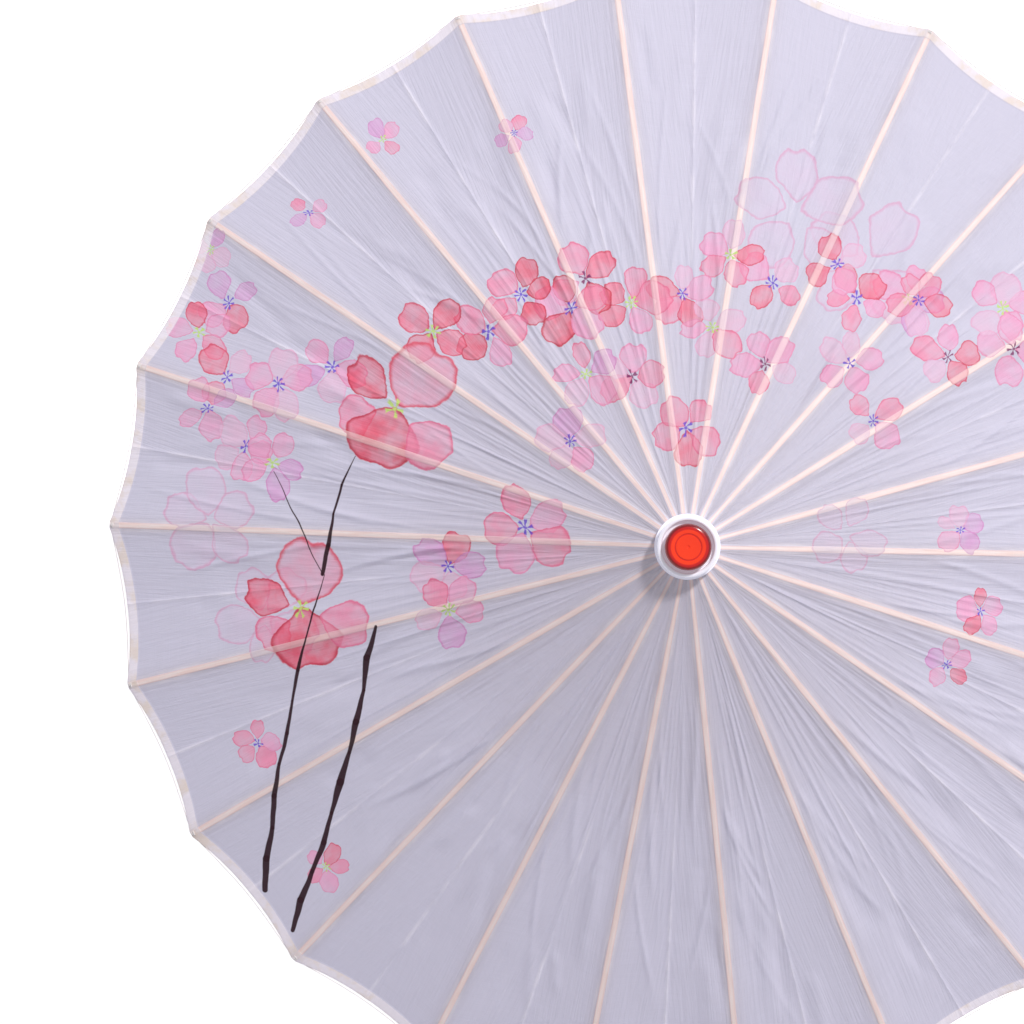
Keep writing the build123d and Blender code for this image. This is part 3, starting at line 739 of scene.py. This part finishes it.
def rib_strip(rib, silk):
    """The narrow strip of cloth glued along one rib's top, and the thread wound round its tip."""
    azimuth = rib * GORE
    share = ROWS[:, None]
    rib_r, from_edge = between((NECK_R, RIM_R), share), (1 - share) * cloth_length
    across = STRIP * STRIP_COLUMNS
    points = rib_r[..., None] * radial(azimuth) + across[None, :, None] * sideways(azimuth)
    points[..., 2] += APEX_Z - SLOPE * rib_r - STRIP_DROP + STRIP_RISE + hem_height(from_edge)
    lay = np.stack(np.broadcast_arrays(share * cloth_length, across, from_edge), -1) * MM
    faces = grid_faces(len(ROWS), len(STRIP_COLUMNS)).tolist()
    cloth = points.reshape(-1, 3), lay.reshape(-1, 3), faces, [0] * len(faces)
    angle = np.linspace(0, 2 * pi, 25)
    for turn in range(3):
        reach = WINDINGS[0] + WINDINGS[1] * turn
        centre = reach * radial(azimuth) + np.array([0, 0, HINGE_Z - (reach - HINGE_R) * SLOPE])
        loop = centre + np.outer(RIB_TIP[0] * np.cos(angle), sideways(azimuth))
        loop += np.outer(RIB_TIP[1] * np.sin(angle), off_rib(azimuth))
        loop += np.outer(0.0004 * np.sin(angle * 2 + turn), radial(azimuth))
        cloth = with_thread(cloth, loop, sides=5)
    made = cloth_piece(f"cloth_{rib + 1:02d}_on_rib", cloth, [silk, thread])
    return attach(made, f"rib_{rib + 1:02d}")


def neck_cloth(rib, silk):
    """The cloth about one rib under the collar, as it lies when open; it is not attached to the
    rib.
    """
    azimuth = rib * GORE
    turn = np.linspace(-GORE / 2, GORE / 2, NECK_COLUMNS)[None, :]
    reach = np.linspace(HOLE_R, NECK_R + 0.0002, NECK_ROWS)[:, None]
    slope = between((SLOPE, crease_slope), np.abs(turn) / (GORE / 2))
    points = np.stack([reach * np.cos(azimuth + turn), reach * np.sin(azimuth + turn),
                       APEX_Z - STRIP_DROP - slope * reach], -1)
    # It lies inside the collar, far from the edge.
    lay = np.stack(np.broadcast_arrays(reach - NECK_R, reach * turn, 0.4), -1) * MM
    faces = grid_faces(NECK_ROWS, NECK_COLUMNS)
    cloth = points.reshape(-1, 3), lay.reshape(-1, 3), faces, None
    made = cloth_piece(f"cloth_{rib + 1:02d}_neck", cloth, [silk])
    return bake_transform(made)


for rib in range(RIBS):
    azimuth, quarter, number = rib * GORE, GORE / 4, f"{rib + 1:02d}"
    over_rib = cloth_material(f"silk_on_rib_{number}", azimuth, 0.02)
    left_silk, right_silk = [
        cloth_material(f"silk_{number}_{hand}", azimuth + side * quarter, quarter,
                       crease=azimuth + side * GORE / 2)
        for hand, side in (("left", 1), ("right", -1))
    ]
    strip, neck = rib_strip(rib, over_rib), neck_cloth(rib, left_silk)
    left, right = half_gore(rib, 1, left_silk), half_gore(rib, -1, right_silk)
    if rib == 0:
        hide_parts("canopy")


# ---------------------------------------------------------------- wood, plastic and steel
def bar_bamboo(name, lean):
    """Split bamboo for bars that lie round the axis and lean this far: straight fibres, paler
    pith, and darker joints at uneven places along each bar. In millimetres."""
    made, tree = material(name)
    x, y, z = split(tree, scaled(tree, object_place(tree), MM, MM, MM))
    reach, turn = from_axis(tree, x, y), maths(tree, "ARCTAN2", y, x)
    across = times(tree, reach, maths(tree, "WRAP", turn, GORE / 2, -GORE / 2))
    through = plus(tree, times(tree, z, cos(lean)), times(tree, reach, sin(lean)))
    seed = times(tree, maths(tree, "ROUND", maths(tree, "DIVIDE", turn, GORE)), 17.3)
    sockets = {0: maths(tree, "MULTIPLY_ADD", reach, 0.02, seed),
               1: times(tree, across, 3.0), 2: times(tree, through, 3.0)}
    fibre = node(tree, "ShaderNodeCombineXYZ", sockets).outputs[0]
    streak = noise(tree, fibre, 1.0, 4.0, 0.6)
    colour = mix(tree, step_up(tree, streak, 0.3, 0.75), rgb(214, 182, 128), rgb(240, 218, 172))
    pitch = 128.0
    shifted = plus(tree, reach, times(tree, maths(tree, "SINE", seed), 12.0))
    beat = size_of(tree, minus(tree, maths(tree, "MODULO", shifted, pitch), pitch / 2))
    joint = step_down(tree, beat, 0.6, 2.4)
    colour = mix(tree, times(tree, joint, 0.6), colour, rgb(158, 112, 62))
    height = plus(tree, streak, times(tree, joint, 1.5))
    return finish_material(made, tree, {"Base Color": colour, "Roughness": 0.48},
                           (height, 0.00012))


def turned_wood(name, dark, light, ring_pitch, roughness, coat):
    """Wood turned about the shaft: grain along Z, fine lathe rings, and a thin finish."""
    made, tree = material(name)
    place = object_place(tree)
    grain = noise(tree, scaled(tree, place, 420.0, 420.0, 14.0), 1.0, 4.0, 0.6)
    broad = noise(tree, scaled(tree, place, 90.0, 90.0, 5.0), 1.0, 2.0)
    share = plus(tree, times(tree, grain, 0.6), times(tree, broad, 0.5))
    colour = mix(tree, step_up(tree, share, 0.35, 0.75), dark, light)
    lathe = wave(tree, place, "Z", Scale=1 / ring_pitch, Distortion=0.3)
    height = plus(tree, grain, times(tree, lathe, 0.15))
    sockets = {"Base Color": colour, "Roughness": roughness, "Coat Weight": coat,
               "Coat Roughness": 0.12}
    return finish_material(made, tree, sockets, (height, 0.00015))


def bamboo_rod():
    """The shaft's bamboo rod, with ringed joints."""
    made, tree = material("bamboo_rod")
    place = object_place(tree)
    fibre = noise(tree, scaled(tree, place, 700.0, 700.0, 9.0), 1.0, 4.0, 0.65)
    colour = mix(tree, step_up(tree, fibre, 0.3, 0.75), rgb(206, 170, 112), rgb(238, 214, 162))
    pitch, offset = 0.115, 0.03
    shifted = plus(tree, split(tree, place)[2], offset)
    beat = size_of(tree, minus(tree, maths(tree, "MODULO", shifted, pitch), pitch / 2))
    joint = step_down(tree, beat, 0.0004, 0.0022)
    colour = mix(tree, times(tree, joint, 0.55), colour, rgb(150, 106, 58))
    height = plus(tree, times(tree, fibre, 0.4), joint)
    sockets = {"Base Color": colour, "Roughness": 0.38, "Coat Weight": 0.25,
               "Coat Roughness": 0.2}
    return finish_material(made, tree, sockets, (height, 0.0002))


CAP_TOP_SHADE = (0.0116, 0.0130)  # radii where painted shade darkens the cap's top towards its side
# radii where the cap's rounded side reaches its full painted shade
CAP_SIDE_SHADE = (0.0134, 0.0150)
CAP_GROOVE = 0.0092


def moulded_plastic(name, pale, deep, roughness, glow, shaded_side=None):
    """Glossy moulded plastic with a slight mottle, fine scuffs and faint turning marks, and a
    faint glow in its pale colour, which is painted light. Given a colour for the cap's side, it has
    painted shade down the cap's rounded side and in its groove."""
    made, tree = material(name)
    place = object_place(tree)
    colour = mix(tree, step_up(tree, noise(tree, place, 60.0, 3.0), 0.2, 0.9, 0.2), pale, deep)
    reach = from_axis(tree, *split(tree, place)[:2])
    if shaded_side:
        # Painted shade: the cap darkens down its rounded side and in its groove.
        colour = mix(tree, step_up(tree, reach, *CAP_TOP_SHADE), colour, deep)
        colour = mix(tree, step_up(tree, reach, *CAP_SIDE_SHADE), colour, shaded_side)
        groove = step_down(tree, size_of(tree, minus(tree, reach, CAP_GROOVE)), 0.0002, 0.0008)
        colour = mix(tree, times(tree, groove, 0.7), colour, deep)
    scuff = step_up(tree, noise(tree, place, 900.0, 4.0, 0.7), 0.45, 0.8)
    turned = maths(tree, "SINE", times(tree, reach, 9000.0))
    height = plus(tree, times(tree, scuff, 0.3), times(tree, turned, 0.2))
    rough = maths(tree, "MULTIPLY_ADD", scuff, 0.12, roughness)
    # The emission is painted light: a faint glow in the pale colour.
    sockets = {"Base Color": colour, "Roughness": rough, "Coat Weight": 0.4,
               "Coat Roughness": 0.08, "Emission Color": pale, "Emission Strength": glow}
    return finish_material(made, tree, sockets, (height, 0.00006))


def drawn_steel():
    """Plain steel wire and pins, dull along the drawing marks."""
    made, tree = material("drawn_steel")
    marks = noise(tree, object_place(tree), 1500.0, 3.0, 0.7)
    colour = mix(tree, marks, rgb(150, 148, 146), rgb(196, 194, 190))
    rough = maths(tree, "MULTIPLY_ADD", marks, 0.2, 0.25)
    sockets = {"Base Color": colour, "Metallic": 1.0, "Roughness": rough}
    return finish_material(made, tree, sockets, (marks, 0.00003))


finishes = {
    "long_rib": bar_bamboo("rib_bamboo", TILT),
    "stretcher": bar_bamboo("stretcher_bamboo", -TILT),
    "shaft": bamboo_rod(),
    "hub": turned_wood("hub_wood", rgb(196, 156, 104), rgb(226, 194, 146), 0.004, 0.5, 0.0),
    "grip": turned_wood("grip_wood", rgb(70, 28, 16), rgb(124, 58, 32), 0.006, 0.4, 0.6),
    "steel": drawn_steel(),
    # Both plastics glow faintly in their pale colours: painted light that lifts their shaded
    # hollows.
    "collar": moulded_plastic("white_plastic", rgb(244, 242, 253), rgb(226, 220, 250), 0.22, 0.16),
    # The red cap's side colour is painted shade on its rounded edge.
    "top_cap": moulded_plastic("red_plastic", rgb(255, 62, 22), rgb(190, 16, 28), 0.2, 0.12,
                               shaded_side=rgb(84, 3, 26)),
    "thread": thread,
}
# Nodes that wear another's finish. The rest wear their own, or steel.
WEARS = {
    "stop_pin": "hub", "runner": "hub", "end_knob": "grip", "catch": "shaft",
    "neck_thread": "thread", "canopy": "thread",
}
for name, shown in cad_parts.items():
    kind = name[:-3] if name[-2:].isdigit() else name
    look = finishes[WEARS.get(kind, kind if kind in finishes else "steel")]
    shown.data.materials.clear()
    shown.data.materials.append(look)

# ---------------------------------------------------------------- studio
FLOOR_HALF, FLOOR_Z = 8, -0.0003
corners = [(-FLOOR_HALF, -FLOOR_HALF, FLOOR_Z), (FLOOR_HALF, -FLOOR_HALF, FLOOR_Z),
           (FLOOR_HALF, FLOOR_HALF, FLOOR_Z), (-FLOOR_HALF, FLOOR_HALF, FLOOR_Z)]
ground = link("floor", corners, [(0, 1, 2, 3)])
floor_look, tree = material("floor")
finish_material(floor_look, tree, {"Base Color": (0.9, 0.9, 0.9, 1), "Roughness": 0.9,
                                   "Emission Color": (1, 1, 1, 1), "Emission Strength": 0.7})
ground.data.materials.append(floor_look)

scene = bpy.context.scene
world = bpy.data.worlds.new("studio")
scene.world = world
world.use_nodes = True
sky = world.node_tree.nodes["Background"].inputs
sky[0].default_value, sky[1].default_value = (0.93, 0.94, 1.0, 1), 0.38

SUN_AZIMUTH, SUN_ELEVATION = radians(55), radians(42)
lamp = bpy.data.lights.new("key", "SUN")
lamp.energy, lamp.angle, lamp.color = 2.7, radians(7), (1.0, 0.985, 0.965)
sun = bpy.data.objects.new("key", lamp)
scene.collection.objects.link(sun)
towards = Vector((cos(SUN_AZIMUTH) * cos(SUN_ELEVATION), sin(SUN_AZIMUTH) * cos(SUN_ELEVATION),
                  sin(SUN_ELEVATION)))
sun.rotation_euler = towards.to_track_quat("Z", "Y").to_euler()

scene.view_settings.view_transform = "Standard"
scene.view_settings.look = "None"

# ---------------------------------------------------------------- camera
# It looks down beside the shaft, tilted a little.
VIEW_DISTANCE = 2.93  # over the rim
VIEW_SPAN = 0.7554  # width seen at the rim
VIEW_X, EYE_Y, AIM_Y = -0.1229, 0.0712, 0.0218
SENSOR = 36
rim_z = APEX_Z - SLOPE * RIM_R
view_turn = Matrix.Rotation(PRINT_TURN, 3, "Z")
eye = view_turn @ Vector((VIEW_X, EYE_Y, rim_z + VIEW_DISTANCE))
aim = view_turn @ Vector((VIEW_X, AIM_Y, rim_z))
right, back = view_turn @ Vector((1, 0, 0)), (eye - aim).normalized()
camera = bpy.data.objects.new("camera", bpy.data.cameras.new("camera"))
scene.collection.objects.link(camera)
camera.location = eye
camera.rotation_euler = Matrix((right, back.cross(right), back)).transposed().to_euler()
camera.data.sensor_width = SENSOR
camera.data.lens = SENSOR * (eye - aim).length / VIEW_SPAN
camera.data.clip_start, camera.data.clip_end = 0.05, 50
scene.camera = camera
